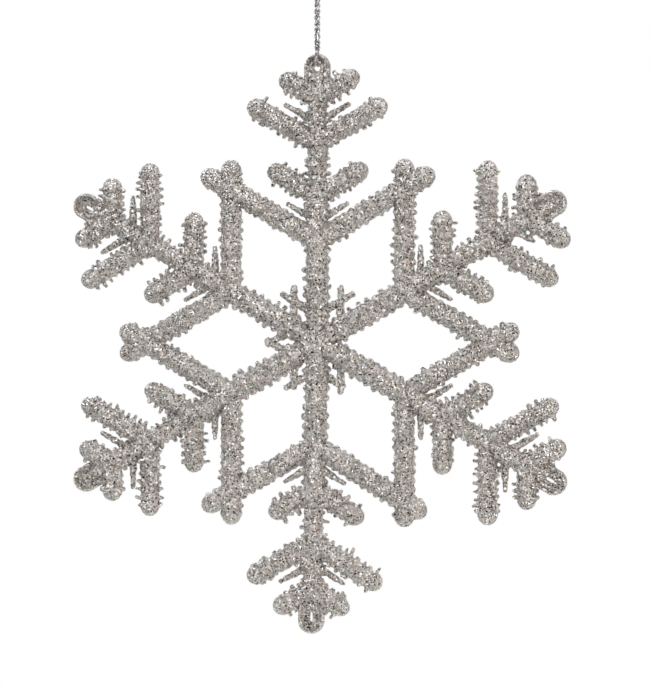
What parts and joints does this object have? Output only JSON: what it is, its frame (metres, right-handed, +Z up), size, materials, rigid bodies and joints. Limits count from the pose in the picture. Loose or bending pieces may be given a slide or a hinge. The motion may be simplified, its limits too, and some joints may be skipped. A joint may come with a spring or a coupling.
{
  "type": "hanging snowflake ornament",
  "caption": "Six-armed glittered snowflake ornament with branching twigs and open rhombus links, hung by its top tip from a short twisted metallic thread with a knotted loop.",
  "frame": {"origin": "where a hook touches the inside top of the hang loop", "axes": "+Z up along the thread, X across the flake to the viewer's right, the flake lies in the XZ plane and its front faces -Y"},
  "size_m": [0.1308, 0.0056, 0.1987],
  "materials": {
    "glitter_plastic": "injection-moulded, fully coated in silver and champagne hexagon-cut glitter",
    "metallic_thread": "two strands of silver metallised thread twisted together"
  },
  "bodies": {
    "loop": {"hang_loop": "metallic_thread"},
    "knot": {"thread_knot": "metallic_thread"},
    "thread": {"twisted_thread": "metallic_thread", "eye_bight": "metallic_thread"},
    "flake": {"top_spine": "glitter_plastic", "top_lug": "glitter_plastic", "top_tip_twigs": "glitter_plastic", "top_middle_twigs": "glitter_plastic", "top_inner_twigs": "glitter_plastic", "top_link_bars": "glitter_plastic", "top_needles": "glitter_plastic", "top_star_needles": "glitter_plastic", "upper_right_spine": "glitter_plastic", "upper_right_lug": "glitter_plastic", "upper_right_tip_twigs": "glitter_plastic", "upper_right_middle_twigs": "glitter_plastic", "upper_right_inner_twigs": "glitter_plastic", "upper_right_link_bars": "glitter_plastic", "upper_right_needles": "glitter_plastic", "upper_right_star_needles": "glitter_plastic", "lower_right_spine": "glitter_plastic", "lower_right_lug": "glitter_plastic", "lower_right_tip_twigs": "glitter_plastic", "lower_right_middle_twigs": "glitter_plastic", "lower_right_inner_twigs": "glitter_plastic", "lower_right_link_bars": "glitter_plastic", "lower_right_needles": "glitter_plastic", "lower_right_star_needles": "glitter_plastic", "bottom_spine": "glitter_plastic", "bottom_lug": "glitter_plastic", "bottom_tip_twigs": "glitter_plastic", "bottom_middle_twigs": "glitter_plastic", "bottom_inner_twigs": "glitter_plastic", "bottom_link_bars": "glitter_plastic", "bottom_needles": "glitter_plastic", "bottom_star_needles": "glitter_plastic", "lower_left_spine": "glitter_plastic", "lower_left_lug": "glitter_plastic", "lower_left_tip_twigs": "glitter_plastic", "lower_left_middle_twigs": "glitter_plastic", "lower_left_inner_twigs": "glitter_plastic", "lower_left_link_bars": "glitter_plastic", "lower_left_needles": "glitter_plastic", "lower_left_star_needles": "glitter_plastic", "upper_left_spine": "glitter_plastic", "upper_left_lug": "glitter_plastic", "upper_left_tip_twigs": "glitter_plastic", "upper_left_middle_twigs": "glitter_plastic", "upper_left_inner_twigs": "glitter_plastic", "upper_left_link_bars": "glitter_plastic", "upper_left_needles": "glitter_plastic", "upper_left_star_needles": "glitter_plastic"}
  },
  "joints": [
    {"name": "thread_swing", "type": "hinge", "parent": "loop", "child": "knot", "pos_m": [0, 0, -0.01305], "axis": [1, 0, 0], "range_deg": [-30, 30]},
    {"name": "thread_twist", "type": "hinge", "parent": "knot", "child": "thread", "pos_m": [0, 0, -0.0146], "axis": [0, 0, 1], "continuous": true},
    {"name": "flake_rock", "type": "hinge", "parent": "thread", "child": "flake", "pos_m": [0, 0, -0.0506], "axis": [0, 1, 0], "range_deg": [-30, 30]}
  ]
}
